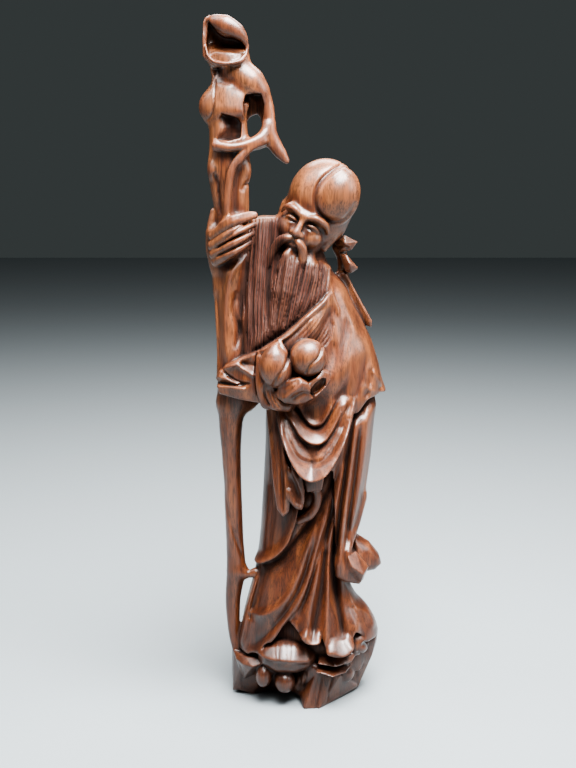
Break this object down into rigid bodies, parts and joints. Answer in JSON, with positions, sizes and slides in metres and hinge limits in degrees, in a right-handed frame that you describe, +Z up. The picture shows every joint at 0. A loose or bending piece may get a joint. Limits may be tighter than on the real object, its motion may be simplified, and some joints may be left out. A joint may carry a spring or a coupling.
{
  "type": "shou lao figure",
  "caption": "Carved hardwood figure of a bearded old man with a tall brow, holding a gnarled staff and peaches, in long folded robes on a rocky base.",
  "frame": {"origin": "middle of the flat underside", "axes": "+Z up, +X to the right of a viewer in front of the figure, -Y towards that viewer"},
  "size_m": [0.1083, 0.0775, 0.4002],
  "materials": {
    "oiled_rosewood": "dark reddish brown, oiled and rubbed to a gloss, darker in the recesses"
  },
  "bodies": {
    "root": {"figure": "oiled_rosewood"}
  },
  "joints": []
}
